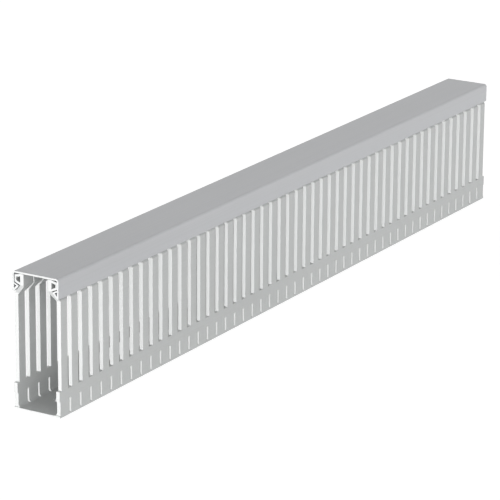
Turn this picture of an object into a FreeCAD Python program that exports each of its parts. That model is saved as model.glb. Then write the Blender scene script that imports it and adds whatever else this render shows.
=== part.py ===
import FreeCAD, Part
import math
import os

# Slotted wire duct: one extruded trough with finger walls, and its clip-on cover.
# X runs along the duct, Y across it and Z up from the mounting face, in millimetres.
# An inset is measured inwards from the outer face of a side wall.

# Overall size
duct_length = 500.0
duct_width = 30.0
duct_height = 79.0

# Trough walls and floor
wall_thickness = 2.25
floor_thickness = 1.0
floor_corner_radius = 2.1

# Fingers and the slots between them
finger_pitch = 10.0
slot_width = 4.0
slot_floor_height = 15.2
head_gap = 0.8

# Break-off slits under the slots
slit_width = 1.4
slit_bottom_rise = 0.2
slit_top = 9.3

# Upright neck of a finger, just under the cover
neck_inset = 4.8
neck_thickness = 2.2
neck_height = 6.4

# Bend where a finger leans in under its neck
lean_rise = 5.2
lean_thickness = 2.15

# Hollow bead on the outer side of the neck
bead_floor_rise = 1.6
bead_roof_drop = 0.85
bead_side_skin = 0.9
bead_floor_skin = 1.25
bead_roof_skin = 1.35

# Cover
cover_thickness = 1.0
cover_corner_radius = 1.6
flange_thickness = 0.95

# Hollow hook along the foot of each flange
hook_play = 0.5
hook_lower_skin = 1.05
hook_upper_skin = 0.8
hook_edge_radius = 0.2

# Running clearance between the cover and the trough
clearance = 0.3

# Mounting holes along the middle of the floor
mounting_hole_pitch = 50.0
mounting_hole_diameter = 7.0
first_mounting_hole = 22.0

# How far a cutter stands out past the material it cuts
overcut = 1.0

half_length = duct_length / 2
half_width = duct_width / 2
bead_inset = flange_thickness + clearance
slit_bottom = floor_thickness + slit_bottom_rise

# Heights of the finger head, worked down from the cover
neck_top = duct_height - cover_thickness - clearance
neck_foot_height = neck_top - neck_height
outer_bend_height = neck_foot_height - lean_rise
bead_floor_height = neck_foot_height + bead_floor_rise
bead_shoulder_height = neck_top - bead_roof_drop


class Line:
    # Straight line of a section: height z over inset d.
    def __init__(self, d1, z1, d2, z2):
        self.slope = (z2 - z1) / (d2 - d1)
        self.start = z1 - self.slope * d1

    def height(self, d):
        return self.start + self.slope * d

    def raised(self, distance):
        # Parallel line at a distance square to this one, upwards when positive.
        line = Line(0, 0, 1, self.slope)
        line.start = self.start + distance * math.hypot(1, self.slope)
        return line

    def crossing(self, other):
        d = (other.start - self.start) / (self.slope - other.slope)
        return d, self.height(d)


lean_face = Line(0, outer_bend_height, neck_inset, neck_foot_height)
lean_back = lean_face.raised(-lean_thickness)
bead_floor = Line(bead_inset, bead_floor_height, neck_inset, neck_foot_height)
bead_roof = Line(bead_inset, bead_shoulder_height, neck_inset, neck_top)


def section_face(corners):
    # Flat face in the YZ plane at the near end, from (y, z, corner radius).
    points = [FreeCAD.Vector(-half_length, y, z) for y, z, radius in corners]
    edges = []
    ends = []
    for index, (y, z, radius) in enumerate(corners):
        here = points[index]
        back = (points[index - 1] - here).normalize()
        ahead = (points[(index + 1) % len(points)] - here).normalize()
        half_angle = back.getAngle(ahead) / 2
        setback = radius / math.tan(half_angle)
        start = here + back * setback
        end = here + ahead * setback
        arc = None
        if radius > 0:
            inward = (back + ahead).normalize()
            middle = here + inward * (radius / math.sin(half_angle) - radius)
            arc = Part.Arc(start, middle, end).toShape()
        ends.append((start, arc, end))
    for index, (start, arc, end) in enumerate(ends):
        if arc:
            edges.append(arc)
        edges.append(Part.makeLine(end, ends[(index + 1) % len(ends)][0]))
    return Part.Face(Part.Wire(edges))


def both_sides(half):
    # Whole outline from the (inset, z, radius) corners of the -Y half.
    near_side = [(d - half_width, z, radius) for d, z, radius in half]
    far_side = [(half_width - d, z, radius) for d, z, radius in reversed(half)]
    return near_side + far_side


def extruded(face):
    return face.extrude(FreeCAD.Vector(duct_length, 0, 0))


def extruded_pair(corners):
    # The same closed hollow run along both side walls.
    near_side = [(d - half_width, z, radius) for d, z, radius in corners]
    far_side = [(half_width - d, z, radius) for d, z, radius in corners]
    return [extruded(section_face(near_side)), extruded(section_face(far_side))]


def trough_body():
    neck_inner = neck_inset + neck_thickness
    half = [
        (0, 0, 0),
        (0, outer_bend_height, 0),
        (neck_inset, neck_foot_height, 0),
        (bead_inset, bead_floor_height, 0),
        (bead_inset, bead_shoulder_height, 0),
        (neck_inset, neck_top, 0),
        (neck_inner, neck_top, 0),
        (neck_inner, lean_back.height(neck_inner), 0),
        (wall_thickness, lean_back.height(wall_thickness), 0),
        (wall_thickness, floor_thickness, floor_corner_radius),
    ]
    return extruded(section_face(both_sides(half)))


def bead_hollows():
    outer = bead_inset + bead_side_skin
    low = bead_floor.raised(bead_floor_skin)
    high = bead_roof.raised(-bead_roof_skin)
    corners = [
        (outer, low.height(outer), 0),
        (outer, high.height(outer), 0),
        (neck_inset, high.height(neck_inset), 0),
        (neck_inset, low.height(neck_inset), 0),
    ]
    return extruded_pair(corners)


def across_both_walls(outline, x):
    # Cutter right across the duct, from (x, z) corners drawn about its centre line.
    points = [FreeCAD.Vector(x + dx, -half_width - overcut, z) for dx, z in outline]
    face = Part.Face(Part.makePolygon(points + points[:1]))
    return face.extrude(FreeCAD.Vector(0, duct_width + 2 * overcut, 0))


def finger_gap(x):
    # Bottle-shaped slot: it narrows along the leaning part of the fingers.
    half = [
        (slot_width / 2, slot_floor_height),
        (slot_width / 2, outer_bend_height),
        (head_gap / 2, neck_foot_height),
        (head_gap / 2, duct_height + overcut),
    ]
    mirrored = [(-dx, z) for dx, z in reversed(half)]
    return across_both_walls(half + mirrored, x)


def break_off_slit(x):
    half = slit_width / 2
    outline = [
        (half, slit_bottom),
        (half, slit_top),
        (-half, slit_top),
        (-half, slit_bottom),
    ]
    return across_both_walls(outline, x)


def mounting_hole(x):
    height = floor_thickness + 2 * overcut
    centre = FreeCAD.Vector(x, 0, -overcut)
    return Part.makeCylinder(mounting_hole_diameter / 2, height, centre)


def evenly_spaced(pitch, first):
    # Stations along the duct, from a first distance off its near end to its far end.
    count = math.floor((duct_length - first) / pitch) + 1
    return [first + index * pitch - half_length for index in range(count)]


def make_duct_base():
    # Both ends are cut through the middle of a slot, so half slots are left there.
    cutters = bead_hollows()
    for x in evenly_spaced(finger_pitch, 0):
        cutters.append(finger_gap(x))
        cutters.append(break_off_slit(x))
    for x in evenly_spaced(mounting_hole_pitch, first_mounting_hole):
        cutters.append(mounting_hole(x))
    return trough_body().cut(cutters)


def make_cover():
    hook_top = bead_floor.raised(-hook_play)
    hook_under = lean_face.raised(clearance)
    tip_inset, tip_height = hook_top.crossing(hook_under)
    foot_height = hook_under.height(flange_thickness)
    half = [
        (0, duct_height, cover_corner_radius),
        (0, foot_height, 0),
        (flange_thickness, foot_height, 0),
        (tip_inset, tip_height, hook_edge_radius),
        (flange_thickness, hook_top.height(flange_thickness), 0),
        (
            flange_thickness,
            duct_height - cover_thickness,
            cover_corner_radius - flange_thickness,
        ),
    ]
    body = extruded(section_face(both_sides(half)))
    return body.cut(hook_hollows(hook_top, hook_under))


def hook_hollows(hook_top, hook_under):
    high = hook_top.raised(-hook_upper_skin)
    low = hook_under.raised(hook_lower_skin)
    point_inset, point_height = high.crossing(low)
    corners = [
        (flange_thickness, high.height(flange_thickness), 0),
        (point_inset, point_height, 0),
        (flange_thickness, low.height(flange_thickness), 0),
    ]
    return extruded_pair(corners)


def export(name, shape):
    solid = shape.removeSplitter()
    if solid.ShapeType == "Compound":
        solid = solid.Solids[0]
    print(name, "volume mm3", round(solid.Volume, 1), "valid", solid.isValid())
    solid.exportStep("parts/" + name + ".step")


os.makedirs("parts", exist_ok=True)
export("duct_base", make_duct_base())
export("cover", make_cover())
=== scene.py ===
# %% [markdown]
# # Slotted wire duct with its clip-on cover
# A wire duct is a plastic trough that keeps the wiring of a control cabinet tidy. Its side walls
# are cut into fingers, so that a wire can leave anywhere, and a cover clips over their heads.
# Both pieces are extrusions: one section pushed through a die, then punched and sawn. The solids
# come ready made at their real size, so this lesson is about the rest: the camera, the light,
# and a plastic that looks extruded, punched and sawn instead of merely grey.

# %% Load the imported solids
import math

import bpy
from mathutils import Matrix, Vector


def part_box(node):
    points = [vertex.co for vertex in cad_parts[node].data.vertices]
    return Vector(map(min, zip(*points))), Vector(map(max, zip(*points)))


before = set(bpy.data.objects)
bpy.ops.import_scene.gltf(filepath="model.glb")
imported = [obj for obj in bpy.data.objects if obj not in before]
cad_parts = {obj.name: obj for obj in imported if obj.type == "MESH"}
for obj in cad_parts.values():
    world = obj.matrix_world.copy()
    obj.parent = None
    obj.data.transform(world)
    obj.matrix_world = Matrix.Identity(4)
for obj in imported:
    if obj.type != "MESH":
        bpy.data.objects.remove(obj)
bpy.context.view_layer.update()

duct_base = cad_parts["duct_base"]
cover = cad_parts["cover"]
millimetre = 0.001
for piece in (duct_base, cover):
    low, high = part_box(piece.name)
    print(piece.name, "size in mm:", [round(side / millimetre, 2) for side in high - low])

# %% [markdown]
# ## The camera
# The duct is seen from its near end and one long side, a little from above. A long lens nearly two
# metres away keeps half a metre of duct almost parallel, which is why the slots look so even.
# Aiming by hand never gets the vanishing lines right, so the camera is placed with a matrix:
# three columns for right, up and backwards, and a fourth for where it stands.

# %% Place the camera
picture_side_px = 500
focal_length_px = 3054.4
sensor_width_mm = 36.0
picture_centre_rise_px = 3.1
camera_place = Vector((-1.51987, -0.90177, 0.58113))
camera_right = Vector((0.51924, -0.85460, 0.00710))
camera_down = Vector((-0.25146, -0.16072, -0.95443))
camera_ahead = Vector((0.81680, 0.49379, -0.29835))

scene = bpy.context.scene
camera_data = bpy.data.cameras.new("product_camera")
camera_data.sensor_width = sensor_width_mm
camera_data.lens = focal_length_px / picture_side_px * sensor_width_mm
camera_data.shift_y = -picture_centre_rise_px / picture_side_px
camera_data.clip_start = 0.05
camera_data.clip_end = 30.0
camera = bpy.data.objects.new("product_camera", camera_data)
turn = Matrix((camera_right, -camera_down, -camera_ahead)).transposed()
camera.matrix_world = Matrix.Translation(camera_place) @ turn.to_4x4()
scene.collection.objects.link(camera)
scene.camera = camera
print("lens in mm:", round(camera_data.lens, 1))

# %% [markdown]
# ## Effects as node groups
# The duct and its cover show the same handful of effects in different strengths: lines drawn by
# the die, a cloudy pigment, punched faces, softened edges. An effect that two materials share is
# worth a node group. It is built once, with named sockets, and each material sets its own values.
# The helpers below open a group, add nodes and join them. A socket takes either a plain value or
# a link from another node, and join() does whichever is meant, so the other helpers stay short.

# %% Helpers for nodes
number = "NodeSocketFloat"
direction = "NodeSocketVector"


def open_group(name, inputs, outputs):
    group = bpy.data.node_groups.new(name, "ShaderNodeTree")
    for label, kind, start in inputs:
        socket = group.interface.new_socket(name=label, in_out="INPUT", socket_type=kind)
        socket.default_value = start
    for label, kind in outputs:
        group.interface.new_socket(name=label, in_out="OUTPUT", socket_type=kind)
    entrance = group.nodes.new("NodeGroupInput")
    way_out = group.nodes.new("NodeGroupOutput")
    return group, entrance.outputs, way_out.inputs


def join(tree, value, socket):
    if isinstance(value, bpy.types.NodeSocket):
        tree.links.new(value, socket)
    else:
        socket.default_value = value


def add_node(tree, kind, settings=None, **inputs):
    node = tree.nodes.new("ShaderNode" + kind)
    for name, value in (settings or {}).items():
        setattr(node, name, value)
    for name, value in inputs.items():
        join(tree, value, node.inputs[name.replace("_", " ")])
    return node


def arithmetic(tree, operation, *values, clamp=False):
    node = add_node(tree, "Math", {"operation": operation, "use_clamp": clamp})
    for value, socket in zip(values, node.inputs):
        join(tree, value, socket)
    return node.outputs["Value"]


print("helpers ready:", open_group.__name__, join.__name__, add_node.__name__, arithmetic.__name__)

# %% [markdown]
# ## Placing and shaping a pattern
# A noise texture has no grain of its own. It gets one when its space is squeezed: where the scale
# is high the pattern is fine, and where it is low it is drawn out long. Object coordinates are in
# metres, so a scale of a thousand makes the texture count in millimetres. The second helper turns
# a soft value into a mask that starts at one level and is full at another.

# %% Helpers for patterns
in_millimetres = 1 / millimetre


def stretched_place(tree, scale):
    place = add_node(tree, "TexCoord").outputs["Object"]
    return add_node(tree, "Mapping", Vector=place, Scale=scale).outputs["Vector"]


def smooth_step(tree, value, start, end):
    smooth = {"interpolation_type": "SMOOTHSTEP"}
    step = add_node(tree, "MapRange", smooth, Value=value, From_Min=start, From_Max=end)
    return step.outputs["Result"]


print("texture scale for millimetres:", in_millimetres)

# %% [markdown]
# ## Die lines
# Every nick in the die leaves a line that runs the whole length of the plastic. They are only a
# few thousandths of a millimetre deep, but a grazing light finds them. Noise makes them when it
# hardly changes along X and changes fast across. Two sizes are mixed: broad swells from the
# sizing table, and hair lines from the lips of the die, which also show as faint dark streaks.

# %% Group: die lines
hair_along_x = 1.5
swell_along_x = 4.0
streak_starts, streak_full = 0.35, 0.70
die_lines, given, result = open_group(
    "die_lines",
    [("Line Width mm", number, 0.5), ("Swell Width mm", number, 6.0), ("Hair Share", number, 0.4)],
    [("Height", number), ("Streak", number)],
)
hair_scale = arithmetic(die_lines, "DIVIDE", 1.0, given["Line Width mm"])
hair_place = stretched_place(die_lines, (hair_along_x, in_millimetres, in_millimetres))
hair = add_node(die_lines, "TexNoise", Vector=hair_place, Scale=hair_scale, Detail=3.0)
swell_scale = arithmetic(die_lines, "DIVIDE", 1.0, given["Swell Width mm"])
swell_place = stretched_place(die_lines, (swell_along_x, in_millimetres, in_millimetres))
swell = add_node(die_lines, "TexNoise", Vector=swell_place, Scale=swell_scale, Detail=1.0)
lines = add_node(
    die_lines,
    "Mix",
    {"data_type": "FLOAT"},
    Factor=given["Hair Share"],
    A=swell.outputs["Fac"],
    B=hair.outputs["Fac"],
)
streak = smooth_step(die_lines, hair.outputs["Fac"], streak_starts, streak_full)
join(die_lines, lines.outputs["Result"], result["Height"])
join(die_lines, streak, result["Streak"])
print("group:", die_lines.name, "nodes:", len(die_lines.nodes))

# %% [markdown]
# ## Pigment clouds
# Grey pigment is mixed into the melt by a screw, and never quite evenly. Across a hand's width the
# grey drifts by a few parts in a hundred, drawn out lengthwise by the flow, and small specks of
# pale filler lie in it. Two weak noises do it. They are too weak to notice, but a surface without
# them looks like paper.

# %% Group: pigment clouds
cloud_along_x = 250.0
pigment_clouds, given, result = open_group(
    "pigment_clouds",
    [("Cloud Width mm", number, 25.0), ("Speck Width mm", number, 0.6)],
    [("Cloud", number), ("Speck", number)],
)
cloud_scale = arithmetic(pigment_clouds, "DIVIDE", 1.0, given["Cloud Width mm"])
cloud_place = stretched_place(pigment_clouds, (cloud_along_x, in_millimetres, in_millimetres))
cloud = add_node(pigment_clouds, "TexNoise", Vector=cloud_place, Scale=cloud_scale, Detail=2.0)
speck_scale = arithmetic(pigment_clouds, "DIVIDE", 1.0, given["Speck Width mm"])
speck_place = stretched_place(pigment_clouds, (in_millimetres, in_millimetres, in_millimetres))
speck = add_node(pigment_clouds, "TexNoise", Vector=speck_place, Scale=speck_scale, Detail=2.0)
join(pigment_clouds, cloud.outputs["Fac"], result["Cloud"])
join(pigment_clouds, speck.outputs["Fac"], result["Speck"])
print("group:", pigment_clouds.name, "nodes:", len(pigment_clouds.nodes))

# %% [markdown]
# ## Punched and sawn faces
# The slots are punched and the ends are sawn, both square across the duct. Such a face shows the
# plastic as the blade left it: paler, partly because the sheared surface scatters more light, and
# with fine marks that run the way the blade went, through the wall. A face cut square across looks
# along X, so the mask only has to ask how much of the normal points that way. The paler grey is
# partly painted light as well, for the lamp on the axis shines along X: the slanting flanks of the
# finger heads don't look straight along X, and keep more of the skin's own grey as painted shade.

# %% Group: cut faces
mark_along_y = 60.0
cut_faces, given, result = open_group(
    "cut_faces",
    [("Mask Start", number, 0.955), ("Mask End", number, 0.985), ("Mark Width mm", number, 0.25)],
    [("Mask", number), ("Height", number)],
)
outward = add_node(cut_faces, "TexCoord").outputs["Normal"]
facing = add_node(cut_faces, "SeparateXYZ", Vector=outward)
square_on = arithmetic(cut_faces, "ABSOLUTE", facing.outputs["X"])
mask = smooth_step(cut_faces, square_on, given["Mask Start"], given["Mask End"])
mark_scale = arithmetic(cut_faces, "DIVIDE", 1.0, given["Mark Width mm"])
mark_place = stretched_place(cut_faces, (in_millimetres, mark_along_y, in_millimetres))
marks = add_node(cut_faces, "TexNoise", Vector=mark_place, Scale=mark_scale, Detail=2.0)
marks_on_cuts = arithmetic(cut_faces, "MULTIPLY", marks.outputs["Fac"], mask)
join(cut_faces, mask, result["Mask"])
join(cut_faces, marks_on_cuts, result["Height"])
print("group:", cut_faces.name, "nodes:", len(cut_faces.nodes))

# %% [markdown]
# ## Softened edges
# No edge of an extrusion is a knife edge: the corners leave the die with a radius of a quarter of
# a millimetre. Modelling that on the four hundred corners of the fingers would be wasteful. The
# Bevel node turns the normal near an edge instead, so the edge catches light as if it were round.
# Comparing the turned normal with the true one also gives a mask of the edges themselves, where
# handling has polished them.

# %% Group: soft edges
turn_starts, turn_full = 0.01, 0.20
soft_edges, given, result = open_group(
    "soft_edges",
    [("Radius", number, 0.0003)],
    [("Normal", direction), ("Edge", number)],
)
rounded = add_node(soft_edges, "Bevel", {"samples": 6}, Radius=given["Radius"]).outputs["Normal"]
true_normal = add_node(soft_edges, "NewGeometry").outputs["Normal"]
likeness = add_node(soft_edges, "VectorMath", {"operation": "DOT_PRODUCT"})
join(soft_edges, rounded, likeness.inputs[0])
join(soft_edges, true_normal, likeness.inputs[1])
turned = arithmetic(soft_edges, "SUBTRACT", 1.0, likeness.outputs["Value"])
join(soft_edges, rounded, result["Normal"])
join(soft_edges, smooth_step(soft_edges, turned, turn_starts, turn_full), result["Edge"])
print("group:", soft_edges.name, "nodes:", len(soft_edges.nodes))

# %% [markdown]
# ## Laying one colour over another
# A material is built up like paint: each layer covers the one below where its mask says so. The
# Mix node does one layer, and a chain of them does the whole skin. The node keeps separate sockets
# for numbers, vectors and colours under the same names, so the colour ones are picked by their
# place in the list.

# %% Helpers for layers
colour_below, colour_above, colour_result = 6, 7, 2


def placed(tree, group, **values):
    node = tree.nodes.new("ShaderNodeGroup")
    node.node_tree = group
    for label, value in values.items():
        node.inputs[label.replace("_", " ")].default_value = value
    return node.outputs


def tinted(tree, mask, below, above):
    blend = add_node(tree, "Mix", {"data_type": "RGBA"}, Factor=mask)
    join(tree, below, blend.inputs[colour_below])
    join(tree, above, blend.inputs[colour_above])
    return blend.outputs[colour_result]


def shade_of(colour, factor):
    return (*(channel * factor for channel in colour), 1.0)


print("half a grey of 0.5 is", shade_of((0.5, 0.5, 0.5), 0.5))

# %% [markdown]
# ## The grey of the vinyl
# Rigid vinyl for ducts is a neutral grey with a hint of blue. Its layers go on in the order in
# which the real piece got them: the clouds in the melt, pale specks, the dark streaks of the die,
# then the paler faces where it was cut, whose paleness is partly painted light, and at the end the
# edges that hands have rubbed light.
# Every shade is given as a share of the skin's own grey, so one colour in the table steers all.

# %% Colour of the vinyl
# Grey of the cut faces: partly their own paler tone, partly painted light on faces that look along
# X.
cut_grey_and_painted_light = (0.625, 0.634, 0.630, 1.0)
cloud_dark, cloud_light = 0.97, 1.03
speck_light = 1.15
streak_dark = 0.80
rubbed_light = 1.25


def vinyl_colour(tree, look, clouds, lines, cuts, edges):
    skin = look["skin"]
    dark, light = shade_of(skin, cloud_dark), shade_of(skin, cloud_light)
    cloudy = tinted(tree, clouds["Cloud"], dark, light)
    speck = arithmetic(tree, "MULTIPLY", clouds["Speck"], look["speck"])
    specked = tinted(tree, speck, cloudy, shade_of(skin, speck_light))
    streak = arithmetic(tree, "MULTIPLY", lines["Streak"], look["streak"])
    streaked = tinted(tree, streak, specked, shade_of(skin, streak_dark))
    # Cut faces take the paler grey. This is partly painted light, and the slanting flanks keep a
    # darker grey as painted shade.
    cut = tinted(tree, cuts["Mask"], streaked, cut_grey_and_painted_light)
    rubbed = arithmetic(tree, "MULTIPLY", edges["Edge"], look["edge_polish"])
    return tinted(tree, rubbed, cut, shade_of(skin, rubbed_light))


print("cut faces are lighter than the skin, at", cut_grey_and_painted_light[:3])

# %% [markdown]
# ## Its sheen and its relief
# The skin is satin, and never equally so: the specks make it drift, and a cut face is rougher than
# a drawn one. The relief is one bump for the die lines and the blade marks together. Their depths
# are given in millimetres and the bump's distance is one millimetre, so the numbers in the table
# are real depths. The bump starts from the softened edges' normal, and both effects survive.

# %% Sheen and relief of the vinyl
satin_gloss = 0.35
satin_drift = 0.06
cut_roughening = 0.15


def vinyl_roughness(tree, look, clouds, cuts):
    glossiest = look["roughness"] - satin_drift
    dullest = look["roughness"] + satin_drift
    satin = add_node(tree, "MapRange", Value=clouds["Speck"], To_Min=glossiest, To_Max=dullest)
    terms = (cuts["Mask"], cut_roughening, satin.outputs["Result"])
    return arithmetic(tree, "MULTIPLY_ADD", *terms, clamp=True)


def vinyl_relief(tree, look, lines, cuts, edges):
    skin_height = arithmetic(tree, "MULTIPLY", lines["Height"], look["line_depth_mm"])
    cut_height = arithmetic(tree, "MULTIPLY", cuts["Height"], look["mark_depth_mm"])
    height = arithmetic(tree, "ADD", skin_height, cut_height)
    bump = add_node(tree, "Bump", Strength=1.0, Distance=millimetre, Height=height)
    join(tree, edges["Normal"], bump.inputs["Normal"])
    return bump.outputs["Normal"]


print("a cut face is rougher than the skin by", cut_roughening)

# %% [markdown]
# ## One vinyl, two pieces
# The same function dresses both pieces, because they are the same vinyl. What differs stands in a
# table, one set of numbers for each. The cover is drawn through a die of its own: its grey is a
# shade bluer, its lines are wider, and lying on top it has taken a few more rubs.

# %% Dress the duct and its cover
looks = {
    "duct_base": {
        "skin": (0.495, 0.506, 0.502),
        "cloud_mm": 30.0,
        "speck_mm": 0.7,
        "line_mm": 0.5,
        "swell_mm": 7.0,
        "streak": 0.14,
        "speck": 0.20,
        "mark_mm": 0.25,
        "edge_mm": 0.3,
        "edge_polish": 0.25,
        "roughness": 0.50,
        "line_depth_mm": 0.020,
        "mark_depth_mm": 0.035,
    },
    "cover": {
        "skin": (0.499, 0.506, 0.520),
        "cloud_mm": 40.0,
        "speck_mm": 0.8,
        "line_mm": 0.6,
        "swell_mm": 9.0,
        "streak": 0.14,
        "speck": 0.20,
        "mark_mm": 0.3,
        "edge_mm": 0.25,
        "edge_polish": 0.35,
        "roughness": 0.46,
        "line_depth_mm": 0.020,
        "mark_depth_mm": 0.030,
    },
}


def extruded_vinyl(name, look):
    material = bpy.data.materials.new(name)
    material.use_nodes = True
    tree = material.node_tree
    shader = tree.nodes["Principled BSDF"].inputs
    shader["Specular IOR Level"].default_value = satin_gloss

    widths = {"Cloud_Width_mm": look["cloud_mm"], "Speck_Width_mm": look["speck_mm"]}
    clouds = placed(tree, pigment_clouds, **widths)
    widths = {"Line_Width_mm": look["line_mm"], "Swell_Width_mm": look["swell_mm"]}
    lines = placed(tree, die_lines, **widths)
    cuts = placed(tree, cut_faces, Mark_Width_mm=look["mark_mm"])
    edges = placed(tree, soft_edges, Radius=look["edge_mm"] * millimetre)

    join(tree, vinyl_colour(tree, look, clouds, lines, cuts, edges), shader["Base Color"])
    join(tree, vinyl_roughness(tree, look, clouds, cuts), shader["Roughness"])
    join(tree, vinyl_relief(tree, look, lines, cuts, edges), shader["Normal"])
    return material


for piece in (duct_base, cover):
    piece.data.materials.clear()
    piece.data.materials.append(extruded_vinyl(piece.name + "_vinyl", looks[piece.name]))
    print(piece.name, "wears", piece.data.materials[0].name)

# %% [markdown]
# ## The floor
# The duct stands on plain white. One square is enough for that, as long as it reaches well past
# the edges of the picture from every side. It is laid at the height of the duct's underside.

# %% Lay the floor
floor_reach = 6.0
floor_corners = [(-1, -1), (1, -1), (1, 1), (-1, 1)]
floor_mesh = bpy.data.meshes.new("floor")
floor_mesh.from_pydata(
    [(x * floor_reach, y * floor_reach, 0.0) for x, y in floor_corners], [], [(0, 1, 2, 3)]
)
floor = bpy.data.objects.new("floor", floor_mesh)
scene.collection.objects.link(floor)
print("floor reach in metres:", floor_reach)

# %% [markdown]
# ## A white that doesn't spill
# A floor lit until it turns white would also flood the duct with light. Here it glows almost white
# only where it is looked at, straight or in a reflection, and the Light Path node tells those rays
# apart. A rest of ordinary colour under the glow still takes the duct's faint shadow. To all other
# light it is an ordinary pale floor, without any glow. Under the duct it glows less even to the
# camera: that is a painted shadow in the duct's footprint, and it shows through the mounting
# holes.

# %% Paint the floor
floor_glow = 0.82
# Painted shadow: how much of the glow is left inside the duct's footprint.
painted_shadow_glow = 0.45
seen_grey = 0.35
bounce_grey = 0.80
duct_length, duct_width, duct_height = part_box(duct_base.name)[1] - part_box(duct_base.name)[0]


def chalk(tree, grey):
    return add_node(tree, "BsdfDiffuse", Color=(grey, grey, grey, 1.0)).outputs["BSDF"]


floor_material = bpy.data.materials.new("white_floor")
floor_material.use_nodes = True
tree = floor_material.node_tree
tree.nodes.clear()
paths = add_node(tree, "LightPath").outputs
looked_at = paths["Is Camera Ray"]
for path in ("Is Glossy Ray", "Is Transmission Ray"):
    looked_at = arithmetic(tree, "MAXIMUM", looked_at, paths[path])

place = add_node(tree, "SeparateXYZ", Vector=add_node(tree, "TexCoord").outputs["Object"])
outside = [
    arithmetic(tree, "GREATER_THAN", arithmetic(tree, "ABSOLUTE", place.outputs[axis]), reach)
    for axis, reach in (("X", duct_length / 2), ("Y", duct_width / 2))
]
clear_of_duct = arithmetic(tree, "MAXIMUM", *outside)
# Full glow clear of the duct, less inside its footprint as a painted shadow.
glow_with_painted_shadow = arithmetic(tree, "MAXIMUM", clear_of_duct, painted_shadow_glow)

glow = add_node(tree, "Emission", Strength=floor_glow, Color=glow_with_painted_shadow)
seen = add_node(tree, "AddShader")
join(tree, chalk(tree, seen_grey), seen.inputs[0])
join(tree, glow.outputs["Emission"], seen.inputs[1])
choice = add_node(tree, "MixShader", Fac=looked_at)
join(tree, chalk(tree, bounce_grey), choice.inputs[1])
join(tree, seen.outputs["Shader"], choice.inputs[2])
surface = add_node(tree, "OutputMaterial")
join(tree, choice.outputs["Shader"], surface.inputs["Surface"])
floor_mesh.materials.append(floor_material)
print("floor wears", floor_material.name)

# %% [markdown]
# ## The sky
# A studio with pale walls and a darker ceiling makes the sides of an object lighter than its top.
# The world does the same here: it is bright at the horizon and dim overhead. The height of each
# direction drives its strength through a Map Range node. Lamps could light the sides too, but each
# would draw hard shadows between the fingers, and a sky that comes from all around doesn't.

# %% Set the sky
horizon_strength = 1.60
zenith_strength = 0.18
scene.view_settings.view_transform = "Standard"
sky = bpy.data.worlds.new("studio_sky")
scene.world = sky
sky.use_nodes = True
tree = sky.node_tree
rise = add_node(tree, "SeparateXYZ", Vector=add_node(tree, "TexCoord").outputs["Generated"])
fall = add_node(
    tree, "MapRange", Value=rise.outputs["Z"], To_Min=horizon_strength, To_Max=zenith_strength
)
background = tree.nodes["Background"].inputs
background["Color"].default_value = (1.0, 1.0, 1.0, 1.0)
join(tree, fall.outputs["Result"], background["Strength"])
print("sky from", horizon_strength, "at the horizon to", zenith_strength, "overhead")

# %% [markdown]
# ## A lamp for the cut faces
# The even row of bright flanks is what shows the slots from far away. They all look along X, and
# so does the sawn end. A lamp in front of that end, on the duct's own axis, lights just these
# faces and grazes everything else. It casts no shadow, or each finger would darken the next. It is
# a point lamp and not a sun, so that the flanks fade a little towards the far end, and its power
# is worked out from how strongly it has to light the near end at that distance.

# %% Set the end lamp
end_lamp_distance = 5.0
end_lamp_lights_with = 2.2
end_lamp_radius = 0.01


def add_lamp(name, kind, strength, **settings):
    data = bpy.data.lights.new(name, kind)
    data.energy = strength
    for label, value in settings.items():
        setattr(data, label, value)
    lamp = bpy.data.objects.new(name, data)
    scene.collection.objects.link(lamp)
    print(name, "strength", round(strength, 2))
    return lamp


end_lamp_power = end_lamp_lights_with * 4 * math.pi * end_lamp_distance**2
end_lamp = add_lamp(
    "end_lamp", "POINT", end_lamp_power, use_shadow=False, shadow_soft_size=end_lamp_radius
)
end_lamp.location = (-duct_length / 2 - end_lamp_distance, 0.0, duct_height / 2)

# %% [markdown]
# ## Soft lamps for the long side
# Two wide suns model the long side: one from the near corner and one square on. The wider a sun's
# angle, the softer its shadow. A third, weak and without a shadow, comes from below and lifts the
# faces that lean down under the heads, as light from a table would.

# %% Set the side lamps
side_lamps = {
    "corner_light": {"strength": 0.48, "spread": 40.0, "travel": (0.62, 0.78, -0.08)},
    "side_light": {"strength": 0.12, "spread": 60.0, "travel": (0.1, 0.99, -0.05)},
    "side_fill": {"strength": 0.29, "spread": 2.0, "travel": (0.0, 0.87, 0.50)},
}
lamps_without_shadow = {"side_fill"}
for name, lamp in side_lamps.items():
    settings = {
        "angle": math.radians(lamp["spread"]),
        "use_shadow": name not in lamps_without_shadow,
    }
    sun = add_lamp(name, "SUN", lamp["strength"], **settings)
    sun.rotation_euler = Vector(lamp["travel"]).to_track_quat("-Z", "Y").to_euler()
